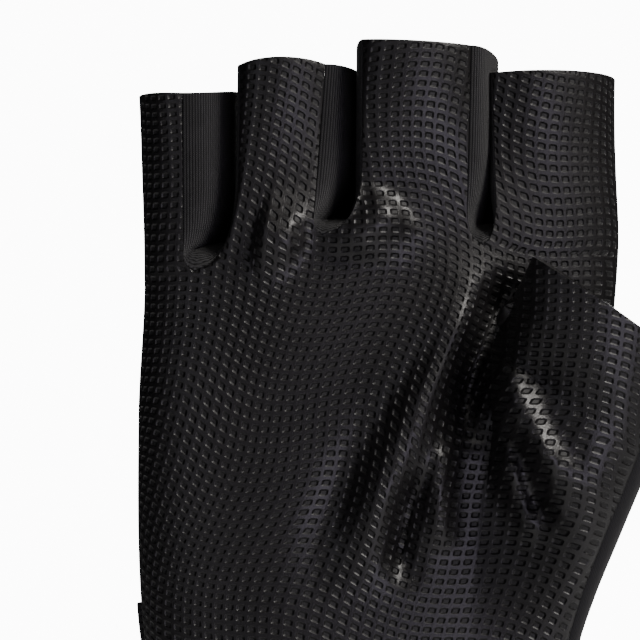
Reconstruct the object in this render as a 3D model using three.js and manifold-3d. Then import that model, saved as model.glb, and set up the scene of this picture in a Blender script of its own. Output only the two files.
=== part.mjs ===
// A right-hand half-finger training glove, open at the wrist, the four fingers and the thumb.
// Millimetres. The origin is the centre of the wrist opening. The fingers point to +Z, the
// palm faces -Y, and the thumb is on the +X side, in front of the index finger's base.
import * as THREE from "three";
import Module from "manifold-3d";

// Overall sizes
const length = 160; // wrist hem to the middle finger's hem
const width = 92; // across the four finger tubes
const palmDepth = 16; // side seams to the front of the palm
const backDepth = 13; // side seams to the back of the hand
const wristWidth = 72; // the wrist opening, side to side
const wristDepth = 44; // the wrist opening, front to back
const thumbReach = 57; // how far the thumb's outer seam ends to the right of the middle
const thumbForward = 28; // how far the thumb's tube stands in front of the side seams

// Walls and the clearance that neighbours keep
const leatherWall = 1.4;
const knitWall = 1.2;
const fabricWall = 1.2;
const strapWall = 1.8;
const tabWall = 2.0;
const seamGap = 0.3;

// The strap round the back of the wrist, and its tab
const strapFrom = 9.5; // lower edge above the wrist hem
const strapHeight = 43;
const strapStart = 0.2; // the angle behind the left side at which it starts, in radians
const tabWidth = 34;
const tabHeight = 30;
const tabCorner = 6;
const tabAcross = -8; // the tab's middle, to the left of the hand's

// The leather goes round both sides, this far past the widest line, in radians
const sideWrap = 0.32;

// The height of the thumb's web, and of the rows where the body ends, as shares of length
const webHeight = 0.625;
const rowEnd = { leftSeam: 0.70, web: 0.75, rightSeam: 0.74 };

// Sections of the hand from the wrist up. "at" is a share of length, "left" and "right" of
// width, "front" of palmDepth and "back" of backDepth. "square" is the section's squareness.
const sections = [
  { at: 0.00, left: -0.5 * wristWidth / width, right: 0.5 * wristWidth / width,
    front: 0.5 * wristDepth / palmDepth, back: 0.5 * wristDepth / backDepth, square: 2.1 },
  { at: 0.16, left: -0.446, right: 0.388, front: 1.19, back: 1.38, square: 2.2 },
  { at: 0.32, left: -0.492, right: 0.400, front: 1.08, back: 1.14, square: 2.4 },
  { at: 0.55, left: -0.499, right: 0.470, front: 1.00, back: 1.00, square: 2.6 },
  { at: 0.71, left: -0.486, right: 0.499, front: 0.92, back: 0.92, square: 2.6 },
  { at: 0.83, left: -0.493, right: 0.509, front: 0.84, back: 0.80, square: 2.6 },
  { at: 1.00, left: -0.511, right: 0.517, front: 0.78, back: 0.72, square: 2.6 },
];

// The strips between the fingers. Each is a V whose tip sits in the palm: "a" is the branch on
// the finger to its left, "b" the branch on the finger to its right. x is a share of width, y of
// palmDepth in front and of backDepth behind, and the heights are shares of length. "low" is
// where a branch's front edge stands above the round of the V, and "round" is the share of its
// height that the round takes.
const strips = [
  { name: "gusset_little_ring", tip: -0.379, tipFront: 0.726, backTip: -0.281, tipBack: 0.735,
    web: 0.762,
    a: { round: 0.10, low: -0.402, frontX: -0.404, frontY: -0.74, frontZ: 0.938, backX: -0.290,
      backY: 0.50, backZ: 0.944 },
    b: { round: 0.46, low: -0.290, frontX: -0.283, frontY: -0.70, frontZ: 0.972, backX: -0.272,
      backY: 0.52, backZ: 0.962 } },
  { name: "gusset_ring_middle", tip: -0.116, tipFront: 0.769, backTip: -0.035, tipBack: 0.765,
    web: 0.790,
    a: { round: 0.12, low: -0.136, frontX: -0.109, frontY: -0.74, frontZ: 0.972, backX: -0.044,
      backY: 0.52, backZ: 0.966 },
    b: { round: 0.34, low: -0.034, frontX: -0.031, frontY: -0.96, frontZ: 1.000, backX: -0.026,
      backY: 0.54, backZ: 0.980 } },
  { name: "gusset_middle_index", tip: 0.215, tipFront: 0.757, backTip: 0.254, tipBack: 0.765,
    web: 0.785,
    a: { round: 0.20, low: 0.180, frontX: 0.190, frontY: -0.92, frontZ: 0.993, backX: 0.246,
      backY: 0.54, backZ: 0.980 },
    b: { round: 0.30, low: 0.246, frontX: 0.236, frontY: -0.70, frontZ: 0.962, backX: 0.268,
      backY: 0.54, backZ: 0.958 } },
];

// The hems: height at the left and right seam, and how far the middle rises, of length
const hems = [
  { name: "little", left: 0.932, right: 0.938, rise: 0.003 },
  { name: "ring", left: 0.972, right: 0.972, rise: 0.008 },
  { name: "middle", left: 1.000, right: 0.993, rise: 0.001 },
  { name: "index", left: 0.962, right: 0.954, rise: 0.006 },
];

// The thumb's sections from the wrist hem ("at" 0) over the web (1) to its hem (2). The leather
// runs from the inner line, which is the palm's own surface up to the web, to the outer seam.
// x is a share of thumbReach, y of thumbForward, z of length. "wall" is 0 where the leather
// leaves the palm smoothly and 1 where it stands up from it.
const thumb = [
  { at: 0.00, innerX: 0.25, innerY: -0.60, innerZ: 0.000, outerX: 0.5 * wristWidth / thumbReach,
    outerY: 0.00, outerZ: 0.000, wall: 0.0, full: 1.0 },
  { at: 0.25, innerX: 0.27, innerY: -0.65, innerZ: 0.156, outerX: 0.635, outerY: -0.16,
    outerZ: 0.142, wall: 0.0, full: 1.0 },
  { at: 0.50, innerX: 0.30, innerY: -0.60, innerZ: 0.312, outerX: 0.625, outerY: -0.44,
    outerZ: 0.268, wall: 0.1, full: 0.95 },
  { at: 0.66, innerX: 0.33, innerY: -0.55, innerZ: 0.412, outerX: 0.665, outerY: -0.62,
    outerZ: 0.338, wall: 0.25, full: 0.9 },
  { at: 0.82, innerX: 0.37, innerY: -0.50, innerZ: 0.512, outerX: 0.740, outerY: -0.78,
    outerZ: 0.414, wall: 0.6, full: 0.85 },
  { at: 1.00, innerX: 0.40, innerY: -0.42, innerZ: 0.625, outerX: 0.842, outerY: -0.90,
    outerZ: 0.506, wall: 1.0, full: 0.8 },
  { at: 1.50, innerX: 0.450, innerY: -0.72, innerZ: 0.684, outerX: 0.905, outerY: -0.96,
    outerZ: 0.575, wall: 1.0, full: 0.8 },
  { at: 2.00, innerX: 0.515, innerY: -0.88, innerZ: 0.738, outerX: 0.956, outerY: -1.00,
    outerZ: 0.634, wall: 1.0, full: 0.8 },
];
const thumbBackFull = 0.62; // the roundness of the thumb's back, where 1 is a half circle
const stripFull = 0.3; // the roundness of the fingers' inner walls
const fingerForms = 0.95; // the share of a finger's height over which its tube takes its shape
const fingerFull = 0.92; // the roundness of their fronts and backs

// Folds: ridges (+) and valleys (-) along a path over the palm. "height" and "wide" are shares
// of palmDepth. A path's points are shares of width and of length.
const folds = [
  { name: "ring pad", height: 0.26, wide: 0.45,
    path: [[-0.295, 0.770], [-0.250, 0.765], [-0.190, 0.760], [-0.140, 0.745]] },
  { name: "middle pad", height: 0.22, wide: 0.36,
    path: [[0.030, 0.815], [-0.010, 0.787], [-0.045, 0.765], [-0.060, 0.735]] },
  { name: "palm ridge", height: 0.28, wide: 0.36,
    path: [[0.300, 0.745], [0.208, 0.692], [0.143, 0.633], [0.086, 0.574], [0.044, 0.516],
      [0.010, 0.457], [-0.009, 0.398], [0.000, 0.330]] },
  { name: "thumb valley", height: -0.34, wide: 0.24,
    path: [[0.297, 0.728], [0.242, 0.680], [0.197, 0.620], [0.174, 0.565], [0.182, 0.508]] },
  { name: "shallow valley", height: -0.13, wide: 0.24,
    path: [[0.250, 0.755], [0.126, 0.650], [0.036, 0.580], [-0.058, 0.492], [-0.110, 0.420],
      [-0.140, 0.315]] },
  { name: "crease under the ridge", height: -0.20, wide: 0.14,
    path: [[0.096, 0.505], [0.053, 0.441], [0.044, 0.401], [0.061, 0.345]] },
  { name: "middle ray", height: 0.14, wide: 0.14,
    path: [[0.137, 0.540], [0.126, 0.480], [0.126, 0.433], [0.139, 0.385]] },
  { name: "inner ray", height: 0.13, wide: 0.15,
    path: [[0.240, 0.525], [0.290, 0.457], [0.331, 0.405]] },
  { name: "thumb crease", height: -0.16, wide: 0.14,
    path: [[0.265, 0.560], [0.307, 0.480], [0.348, 0.415]] },
  { name: "thumb ridge", height: 0.17, wide: 0.20,
    path: [[0.245, 0.655], [0.262, 0.592], [0.292, 0.548], [0.341, 0.495], [0.400, 0.445]] },
  { name: "thumb hollow", height: -0.07, wide: 0.20,
    path: [[0.300, 0.640], [0.356, 0.544], [0.425, 0.470]] },
];

// Mesh counts: columns for each finger, for the thumb, and rows between the named levels
const columns = [7, 6, 7, 3, 5];
const backColumns = [5, 4, 5, 6];
const thumbColumns = 11;
const rowsToWeb = 14;
const backRowsToWeb = 7;
const rowsToCrotch = 3;
const rowsOfFinger = 6;

// Small vector and curve tools
const add = (p, q, s = 1) => p.map((v, i) => v + s * q[i]);
const minus = (p, q) => p.map((v, i) => v - q[i]);
const dot = (p, q) => p[0] * q[0] + p[1] * q[1] + p[2] * q[2];
const size = (p) => Math.hypot(...p);
const unit = (p) => p.map((v) => v / (size(p) || 1));
const mix = (a, b, t) => a + (b - a) * t;
const mixPoint = (p, q, t) => p.map((v, i) => mix(v, q[i], t));
const cross = (p, q) => [
  p[1] * q[2] - p[2] * q[1],
  p[2] * q[0] - p[0] * q[2],
  p[0] * q[1] - p[1] * q[0],
];
const ease = (t) => {
  const s = Math.min(1, Math.max(0, t));
  return s * s * (3 - 2 * s);
};

// A smooth curve through one column of a table, read at t
function column(table, key, t) {
  let i = 0;
  while (i < table.length - 2 && t > table[i + 1].at) i += 1;
  const slope = (n) => {
    const a = table[Math.max(0, n - 1)];
    const b = table[Math.min(table.length - 1, n + 1)];
    return (b[key] - a[key]) / (b.at - a.at);
  };
  const a = table[i];
  const b = table[i + 1];
  const span = b.at - a.at;
  const s = (t - a.at) / span;
  const rise = b[key] - a[key];
  const bend = (slope(i) * span - rise) * (1 - s) + (rise - slope(i + 1) * span) * s;
  return a[key] + rise * s + s * (1 - s) * bend;
}

// An arc from a to b that leaves along da and arrives along db. It is round where full is 1.
function arc(a, da, b, db, t, full = 1) {
  const turn = Math.acos(Math.min(1, Math.max(-1, dot(unit(da), unit(db)))));
  const pull = full * size(minus(b, a)) / Math.cos(turn / 4) ** 2;
  const s = 1 - t;
  const along = add(mixPoint(a, b, t * t * (3 - 2 * t)), unit(da), pull * t * s * s);
  return add(along, unit(db), -pull * t * t * s);
}

// The hand's section at height z: angle 0 is its left side, a quarter turn the palm's middle,
// a half turn its right side, and negative angles go over the back
function handPoint(angle, z) {
  const t = z / length;
  const left = width * column(sections, "left", t);
  const right = width * column(sections, "right", t);
  const power = 2 / column(sections, "square", t);
  const c = Math.cos(angle);
  const s = Math.sin(angle);
  const across = Math.sign(c) * Math.abs(c) ** power;
  const depth = s > 0
    ? palmDepth * column(sections, "front", t)
    : backDepth * column(sections, "back", t);
  const out = Math.sign(s) * Math.abs(s) ** power;
  return [0.5 * (left + right) - 0.5 * (right - left) * across, -depth * out, z];
}

// The angle at which the hand's section passes x, on the palm's side
function angleAt(x, z) {
  const t = z / length;
  const left = width * column(sections, "left", t);
  const right = width * column(sections, "right", t);
  const share = (left + right - 2 * x) / (right - left);
  const power = 0.5 * column(sections, "square", t);
  return Math.acos(Math.sign(share) * Math.abs(share) ** power);
}

// How far the folds lift the leather at x, z
function foldHeight(x, z) {
  let sum = 0;
  for (const fold of folds) {
    const path = fold.path.map(([px, pz]) => [px * width, pz * length]);
    let near = Infinity;
    let along = 0;
    for (let i = 0; i < path.length - 1; i += 1) {
      const [ax, az] = path[i];
      const dx = path[i + 1][0] - ax;
      const dz = path[i + 1][1] - az;
      const s = ((x - ax) * dx + (z - az) * dz) / (dx * dx + dz * dz);
      const t = Math.min(1, Math.max(0, s));
      const d = Math.hypot(x - ax - t * dx, z - az - t * dz);
      if (d < near) {
        near = d;
        along = (i + t) / (path.length - 1);
      }
    }
    const fade = ease(along / 0.25) * ease((1 - along) / 0.35);
    sum += fold.height * palmDepth * fade * Math.exp(-((near / (fold.wide * palmDepth)) ** 2));
  }
  return sum;
}

// Folds act on what faces the palm's side, and leave the sides and the back alone
function folded(p) {
  const facing = ease(-p[1] / (0.6 * palmDepth));
  return [p[0], p[1] - facing * foldHeight(p[0], p[2]), p[2]];
}

// The front and back edge of a strip, from t = -1 (the hem of the finger on its left) over the
// tip at 0 to 1 (the hem of the finger on its right)
function stripEdge(strip, t, back) {
  const branch = t < 0 ? strip.a : strip.b;
  const s = Math.abs(t);
  const tipZ = length * (back ? strip.tipBack : strip.tipFront);
  const tipX = width * (back ? strip.backTip : strip.tip);
  const angle = back ? -angleAt(tipX, tipZ) : angleAt(tipX, tipZ);
  const tip = handPoint(angle, tipZ);
  const x = width * (back ? branch.backX : branch.frontX);
  const y = back ? backDepth * branch.backY : palmDepth * branch.frontY;
  const z = length * (back ? branch.backZ : branch.frontZ);
  const low = back ? x : width * branch.low;
  const bend = Math.sqrt(1 - (1 - Math.min(1, s / branch.round)) ** 2);
  const p = [mix(tip[0], mix(low, x, s), bend), mix(tip[1], y, ease(1.4 * s)), mix(tipZ, z, s)];
  return back ? p : folded(p);
}

// The side seams of the hand and of the outer fingers
const leftEnd = { body: rowEnd.leftSeam, hem: hems[0].left };
const rightEnd = { body: rowEnd.rightSeam, hem: hems[3].right };
function sideSeam(end, v, angle) {
  const z = length * (v < 1 ? end.body * v : mix(end.body, end.hem, v - 1));
  return handPoint(angle, z);
}
const leftSeam = (v) => sideSeam(leftEnd, v, -sideWrap);
const rightSeam = (v) => sideSeam(rightEnd, v, Math.PI + sideWrap);

// The corners of a finger's section: its seams in order, front first, at v from 1 to 2
function fingerCorners(k, v) {
  const t = v - 1;
  const front = [
    k === 0 ? leftSeam(v) : stripEdge(strips[k - 1], t, false),
    k === 3 ? rightSeam(v) : stripEdge(strips[k], -t, false),
  ];
  const back = [];
  if (k < 3) back.push(stripEdge(strips[k], -t, true));
  if (k > 0) back.push(stripEdge(strips[k - 1], t, true));
  return [...front, ...back];
}

// The direction in which the section passes corner n
function cornerWay(corners, n) {
  const here = corners[n];
  const next = corners[(n + 1) % corners.length];
  const last = corners[(n + corners.length - 1) % corners.length];
  const flat = (p) => unit([p[0], p[1], 0]);
  return unit(add(flat(minus(here, last)), flat(minus(next, here))));
}

// A finger's wall from corner n to the next one
function fingerArc(k, v, n, t) {
  const corners = fingerCorners(k, v);
  const m = (n + 1) % corners.length;
  return arc(corners[n], cornerWay(corners, n), corners[m], cornerWay(corners, m), t, fingerFull);
}

// Where the lobes of the palm meet at row v: the angles of the hand's section, left to right
const webRow = webHeight / rowEnd.web;
const innerAngle = (v) => {
  const r = Math.min(1, v / webRow);
  const x = thumbReach * column(thumb, "innerX", r);
  return angleAt(x, length * rowEnd.web * Math.min(v, webRow));
};
function lobeAngles(v) {
  const web = innerAngle(v);
  const even = strips.map((s, i) => mix(-sideWrap, web, (i + 1) / 4.2));
  const tips = strips.map((s) => angleAt(width * s.tip, length * s.tipFront));
  const bounds = even.map((angle, i) => mix(angle, tips[i], ease(v)));
  return [-sideWrap, ...bounds, web, Math.PI + sideWrap];
}
const rowEnds = [rowEnd.leftSeam, ...strips.map((s) => s.tipFront), rowEnd.web, rowEnd.rightSeam];

// The palm leather without the thumb. Lobe 0 to 2 are the little, ring and middle finger, and
// 3 and 4 the index finger left and right of the web line. v runs from the wrist (0) over the
// finger crotches (1) to the hems (2), c across the lobe.
function palmPoint(lobe, c, v) {
  if (v <= 1) {
    const angles = lobeAngles(v);
    const z = length * v * mix(rowEnds[lobe], rowEnds[lobe + 1], c);
    return folded(handPoint(mix(angles[lobe], angles[lobe + 1], c), z));
  }
  const k = Math.min(lobe, 3);
  const angles = lobeAngles(1);
  const indexMiddle = (angles[4] - angles[3]) / (angles[5] - angles[3]);
  const whole = lobe < 3 ? c : lobe === 3 ? mix(0, indexMiddle, c) : mix(indexMiddle, 1, c);
  const first = angles[k];
  const last = k === 3 ? angles[5] : angles[k + 1];
  const start = length * mix(rowEnds[lobe], rowEnds[lobe + 1], c);
  const hem = hems[k];
  const top = length * (mix(hem.left, hem.right, whole) + hem.rise * 4 * whole * (1 - whole));
  const z = mix(start, top, v - 1);
  const leftEdge = fingerArc(k, v, 0, 0);
  const rightEdge = fingerArc(k, v, 0, 1);
  if (whole === 0) return leftEdge;
  if (whole === 1) return rightEdge;
  const onHand = folded(handPoint(mix(first, last, whole), z));
  const fixLeft = minus(leftEdge, folded(handPoint(first, leftEdge[2])));
  const fixRight = minus(rightEdge, folded(handPoint(last, rightEdge[2])));
  const pulled = add(add(onHand, fixLeft, (1 - whole) ** 3), fixRight, whole ** 3);
  const [x, y] = mixPoint(pulled, fingerArc(k, v, 0, whole), ease((v - 1) / fingerForms));
  return [x, y, z];
}

// The thumb's inner line, outer seam, and the ways in which its leather leaves them
function thumbInner(r) {
  if (r <= 1) return palmPoint(3, 1, webRow * r);
  return [
    thumbReach * column(thumb, "innerX", r),
    thumbForward * column(thumb, "innerY", r),
    length * column(thumb, "innerZ", r),
  ];
}
const thumbOuter = (r) => [
  thumbReach * column(thumb, "outerX", r),
  thumbForward * column(thumb, "outerY", r),
  length * column(thumb, "outerZ", r),
];
function thumbWays(r) {
  const across = unit(minus(thumbOuter(r), thumbInner(r)));
  const wall = column(thumb, "wall", r);
  const v = Math.min(1, r) * webRow;
  const along = unit(minus(palmPoint(3, 1, v), palmPoint(3, 0.9, v)));
  const lean = 0.5 + 0.25 * Math.exp(-(((r - 1) / 0.2) ** 2));
  const up = unit([-lean * across[0], -0.85, -0.5 * across[2]]);
  const side = unit([0.35 * across[0], 0.93, 0.35 * across[2]]);
  const beyond = unit([0.9 * across[0], 0.6, 0.9 * across[2]]);
  return { inner: unit(mixPoint(along, up, wall)), outer: side, beyond };
}
function thumbPoint(c, r) {
  const ways = thumbWays(r);
  const full = column(thumb, "full", r);
  const p = arc(thumbInner(r), ways.inner, thumbOuter(r), ways.outer, c, full);
  const lift = foldHeight(p[0], p[2]);
  return [p[0], p[1] - lift * ease(c / 0.15) * ease((1 - c) / 0.15), p[2]];
}

// The line where the back of the hand and the thumb's back meet, from the wrist to the web
const backLine = (r) => {
  const z = length * rowEnd.rightSeam * webRow * r;
  return handPoint(Math.PI + mix(0.9, sideWrap, ease(r)), z);
};

// The thumb's back: from the outer seam round to the back of the hand (r up to 1), to the lower
// edge of the index finger's front behind the thumb (to 1.5) and to the thumb's inner line
function thumbBackPoint(c, r) {
  const from = thumbOuter(r);
  const ways = thumbWays(r);
  let to;
  let way;
  if (r <= 1) {
    to = backLine(r);
    const z = to[2];
    way = unit(minus(handPoint(Math.PI + sideWrap + 0.1, z), handPoint(Math.PI + sideWrap, z)));
  } else if (r <= 1.4) {
    const s = (r - 1) / 0.4;
    to = palmPoint(4, 1 - s, webRow);
    way = unit([-1, mix(0.6, -0.4, s), 0.35]);
  } else {
    const s = (r - 1.4) / 0.6;
    to = thumbInner(1 + s);
    way = mixPoint([-1, -0.4, 0.35], thumbWays(1 + s).inner, ease(s));
  }
  return arc(from, ways.beyond, to, unit(way), c, r <= 1 ? 0.8 : mix(0.8, thumbBackFull, r - 1));
}

// The back of the hand and of the fingers, from the left seam (c = 0) to the right
const backEnds = [rowEnd.leftSeam, ...strips.map((s) => s.tipBack), rowEnd.rightSeam];
function backPoint(k, c, v) {
  const right = -Math.PI + mix(0.9, sideWrap, ease(v / webRow));
  const tips = strips.map((s) => -angleAt(width * s.backTip, length * s.tipBack));
  const even = strips.map((s, i) => mix(-sideWrap, right, (i + 1) / 4));
  const bounds = even.map((angle, i) => mix(angle, tips[i], ease(Math.min(v, 1))));
  const angles = [-sideWrap, ...bounds, right];
  if (v <= 1) {
    const z = length * v * mix(backEnds[k], backEnds[k + 1], c);
    return handPoint(mix(angles[k], angles[k + 1], c), z);
  }
  const n = k === 3 ? 1 : 2;
  const leftEdge = fingerArc(k, v, n, 1);
  const rightEdge = fingerArc(k, v, n, 0);
  const z = mix(leftEdge[2], rightEdge[2], c);
  const onHand = handPoint(mix(angles[k], angles[k + 1], c), z);
  const fixLeft = minus(leftEdge, handPoint(angles[k], z));
  const fixRight = minus(rightEdge, handPoint(angles[k + 1], z));
  const pulled = add(add(onHand, fixLeft, (1 - c) ** 3), fixRight, c ** 3);
  return mixPoint(pulled, fingerArc(k, v, n, 1 - c), ease((v - 1) / fingerForms));
}

// A strip's wall between its front and back edge
function stripPoint(strip, index, t, w) {
  const front = stripEdge(strip, t, false);
  const back = stripEdge(strip, t, true);
  const k = t < 0 ? index : index + 1;
  const v = 1 + Math.abs(t);
  const corners = fingerCorners(k, v);
  const first = t < 0 ? 1 : 0;
  const second = t < 0 ? 2 : corners.length - 1;
  const sign = t < 0 ? 1 : -1;
  const wayIn = cornerWay(corners, first).map((x) => x * sign);
  const wayOut = cornerWay(corners, second).map((x) => x * sign);
  const s = ease(Math.abs(t) / 0.35);
  const leave = mixPoint([0, 1, 0], wayIn, s);
  const p = arc(front, leave, back, mixPoint([0, 1, 0], wayOut, s), w, stripFull);
  const mid = 0.5 * (front[2] + back[2]);
  const lift = (length * strip.web - mid) * (1 - ease(Math.abs(t) / 0.3));
  p[2] += Math.max(0, lift) * 4 * w * (1 - w);
  return p;
}

// Sheets: quads from grids of points, welded where the grids share an edge
function grid(rows, cols, at) {
  const quads = [];
  for (let i = 0; i < rows.length - 1; i += 1) {
    for (let j = 0; j < cols.length - 1; j += 1) {
      quads.push([
        at(cols[j], rows[i]),
        at(cols[j + 1], rows[i]),
        at(cols[j + 1], rows[i + 1]),
        at(cols[j], rows[i + 1]),
      ]);
    }
  }
  return quads;
}
const steps = (from, to, n) => Array.from({ length: n + 1 }, (_, i) => mix(from, to, i / n));

function weld(quads) {
  const points = [];
  const known = new Map();
  const index = (p) => {
    const key = p.map((v) => Math.round(v * 500)).join();
    if (!known.has(key)) {
      known.set(key, points.length);
      points.push(p);
    }
    return known.get(key);
  };
  const faces = [];
  for (const quad of quads) {
    const [a, b, c, d] = quad.map(index);
    if (a !== b && b !== c && a !== c) faces.push([a, b, c]);
    if (a !== c && c !== d && a !== d) faces.push([a, c, d]);
  }
  return { points, faces };
}

// The rim of a sheet: edges that only one face has
function rimEdges(faces) {
  const count = new Map();
  for (const f of faces) {
    for (let i = 0; i < 3; i += 1) {
      const a = f[i];
      const b = f[(i + 1) % 3];
      const back = `${b},${a}`;
      if (count.has(back)) count.delete(back);
      else count.set(`${a},${b}`, [a, b, f[(i + 2) % 3]]);
    }
  }
  return [...count.values()];
}

// A closed wall from a sheet whose faces look outwards: "over" is added outside, "under" inside
// and "edge" all round its rim
function wall(sheet, under, over = 0, edge = 0) {
  const { points, faces } = sheet;
  const normals = points.map(() => [0, 0, 0]);
  for (const [a, b, c] of faces) {
    const n = cross(minus(points[b], points[a]), minus(points[c], points[a]));
    for (const i of [a, b, c]) normals[i] = add(normals[i], n);
  }
  const rim = rimEdges(faces);
  const grown = points.map((p) => [...p]);
  if (edge) {
    const ways = new Map();
    for (const [a, b, c] of rim) {
      const line = unit(minus(points[b], points[a]));
      const inward = minus(points[c], points[a]);
      const out = unit(minus(line.map((v) => v * dot(inward, line)), inward));
      for (const i of [a, b]) ways.set(i, add(ways.get(i) ?? [0, 0, 0], out));
    }
    for (const [i, way] of ways) grown[i] = add(points[i], unit(way), edge);
  }
  const outer = grown.map((p, i) => add(p, unit(normals[i]), over));
  const inner = grown.map((p, i) => add(p, unit(normals[i]), -under));
  const n = points.length;
  const triangles = [];
  for (const [a, b, c] of faces) triangles.push([a, b, c], [c + n, b + n, a + n]);
  for (const [a, b] of rim) triangles.push([b, a, a + n], [b, a + n, b + n]);
  return { points: [...outer, ...inner], triangles };
}

// Solids
const wasm = await Module();
wasm.setup();
function solid({ points, triangles }) {
  return new wasm.Manifold(new wasm.Mesh({
    numProp: 3,
    vertProperties: new Float32Array(points.flat()),
    triVerts: new Uint32Array(triangles.flat()),
  }));
}
function largest(body) {
  const parts = body.decompose();
  return parts.reduce((best, part) => (part.volume() > best.volume() ? part : best));
}

// A panel is cut back from the panels made before it, so that the seam gap stays clear
const made = [];
function panel(quads, thick) {
  const sheet = weld(quads);
  const whole = solid(wall(sheet, thick));
  const body = largest(made.reduce((rest, other) => rest.subtract(other), whole));
  made.push(solid(wall(sheet, thick + seamGap, seamGap, seamGap)), body);
  return body;
}

const group = new THREE.Group();
const finish = {
  leather: { color: 0x1f1c1e, roughness: 0.42, metalness: 0 },
  knit: { color: 0x242427, roughness: 0.85, metalness: 0 },
  fabric: { color: 0x17171a, roughness: 0.75, metalness: 0 },
  strap: { color: 0x131315, roughness: 0.7, metalness: 0 },
};
function place(name, body, kind) {
  const mesh = body.getMesh();
  const geometry = new THREE.BufferGeometry();
  geometry.setAttribute("position", new THREE.BufferAttribute(mesh.vertProperties, 3));
  geometry.setIndex(new THREE.BufferAttribute(mesh.triVerts, 1));
  const piece = new THREE.Mesh(geometry, new THREE.MeshStandardMaterial(finish[kind]));
  piece.name = name;
  group.add(piece);
}

// Palm leather: the five lobes and the thumb's front
const toWeb = steps(0, webRow, rowsToWeb);
const toCrotch = steps(webRow, 1, rowsToCrotch);
const ofFinger = steps(1, 2, rowsOfFinger);
const palmQuads = [];
for (let lobe = 0; lobe < 5; lobe += 1) {
  const cols = steps(0, 1, columns[lobe]);
  const rows = [...(lobe < 4 ? toWeb : []), ...toCrotch.slice(lobe < 4 ? 1 : 0)];
  palmQuads.push(...grid([...rows, ...ofFinger.slice(1)], cols, (c, v) => palmPoint(lobe, c, v)));
}
const thumbRows = [...steps(0, 1, rowsToWeb), ...steps(1, 2, rowsOfFinger).slice(1)];
palmQuads.push(...grid(thumbRows, steps(0, 1, thumbColumns), thumbPoint));
place("palm_panel", panel(palmQuads, leatherWall), "leather");

// Knit strips between the fingers
strips.forEach((strip, i) => {
  const rows = steps(-1, 1, 2 * rowsOfFinger + 4);
  const quads = grid(steps(0, 1, 7), rows, (t, w) => stripPoint(strip, i, t, w));
  place(strip.name, panel(quads, knitWall), "knit");
});

// Back fabric, with its faces turned to look back
const backQuads = [];
for (let k = 0; k < 4; k += 1) {
  const cols = steps(0, 1, backColumns[k]);
  const toBackWeb = steps(0, webRow, backRowsToWeb);
  const rows = [...toBackWeb, ...toCrotch.slice(1), ...ofFinger.slice(1)];
  backQuads.push(...grid(rows, cols, (c, v) => backPoint(k, c, v)));
}
const turned = (quads) => quads.map(([a, b, c, d]) => [d, c, b, a]);
place("back_panel", panel(turned(backQuads), fabricWall), "fabric");

// Fabric of the thumb's back and the web
const thumbBackRows = [...steps(0, 1, backRowsToWeb), ...steps(1, 2, 2 * rowsOfFinger).slice(1)];
const thumbBackQuads = grid(thumbBackRows, steps(0, 1, 8), thumbBackPoint);
place("thumb_back", panel(thumbBackQuads, fabricWall), "fabric");

// The strap lies on the back of the wrist, from the left seam to the seam of the thumb's back
const strapRows = steps(strapFrom, strapFrom + strapHeight, 5);
const strapEnds = (z) => {
  const r = z / (length * rowEnd.rightSeam * webRow);
  return [-strapStart, -Math.PI + mix(0.9, sideWrap, ease(r)) + 0.03];
};
const strapQuads = grid(strapRows, steps(0, 1, 22), (c, z) => {
  const [from, to] = strapEnds(z);
  return handPoint(mix(from, to, c), z);
});
const strapSheet = weld(turned(strapQuads));
place("wrist_strap", solid(wall(strapSheet, -seamGap, seamGap + strapWall)), "strap");

// The tab lies on the strap, with rounded corners
const tabMiddle = strapFrom + 0.5 * strapHeight;
const tabQuads = grid(steps(-0.5, 0.5, 8), steps(-0.5, 0.5, 8), (c, row) => {
  const past = Math.max(0, Math.abs(row) * tabHeight - (0.5 * tabHeight - tabCorner));
  const cut = tabCorner - Math.sqrt(Math.max(0, tabCorner ** 2 - past ** 2));
  const z = tabMiddle + row * tabHeight;
  return handPoint(-angleAt(tabAcross + c * (tabWidth - 2 * cut), z), z);
});
const under = 2 * seamGap + strapWall;
place("strap_tab", solid(wall(weld(turned(tabQuads)), -under, under + tabWall)), "strap");

export default group;
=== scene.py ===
"""A right-hand half-finger training glove, worn form, palm to the camera.

The pieces are worked out in millimetres in the model's own frame: fingers to +Z, palm to -Y and
the thumb on the +X side. Each shape is a function of two parameters on a grid.
"""
from functools import partial

import bpy
import numpy as np
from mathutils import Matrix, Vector


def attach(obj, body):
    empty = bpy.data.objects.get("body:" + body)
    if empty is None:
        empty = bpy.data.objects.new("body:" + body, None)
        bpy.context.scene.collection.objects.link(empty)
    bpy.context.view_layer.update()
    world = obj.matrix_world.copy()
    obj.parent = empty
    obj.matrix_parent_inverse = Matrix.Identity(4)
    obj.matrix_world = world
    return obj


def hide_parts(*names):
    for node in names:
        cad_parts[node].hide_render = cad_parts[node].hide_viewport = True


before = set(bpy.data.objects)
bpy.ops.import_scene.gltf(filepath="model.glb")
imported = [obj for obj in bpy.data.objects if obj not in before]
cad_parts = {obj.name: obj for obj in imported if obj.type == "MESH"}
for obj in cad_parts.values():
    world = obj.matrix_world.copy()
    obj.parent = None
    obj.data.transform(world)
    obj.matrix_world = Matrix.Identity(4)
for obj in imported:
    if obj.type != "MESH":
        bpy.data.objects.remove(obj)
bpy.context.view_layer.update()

bl_info = {
    "name": "Training glove",
    "version": (1, 0, 0),
    "blender": (4, 5, 0),
    "location": "3D View > Sidebar > Glove",
    "description": "Builds a half-finger training glove with its leather, knit and strap",
    "category": "Add Mesh",
}

MM = 0.001

# Overall sizes, as the model has them
LENGTH = 160.0
WIDTH = 92.0
PALM_DEPTH = 16.0
BACK_DEPTH = 13.0
WRIST_WIDTH = 72.0
WRIST_DEPTH = 44.0
THUMB_REACH = 57.0
THUMB_FORWARD = 28.0
SIDE_WRAP = 0.32
WEB_HEIGHT = 0.625
LEFT_END, WEB_END, RIGHT_END = 0.70, 0.75, 0.74
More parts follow.
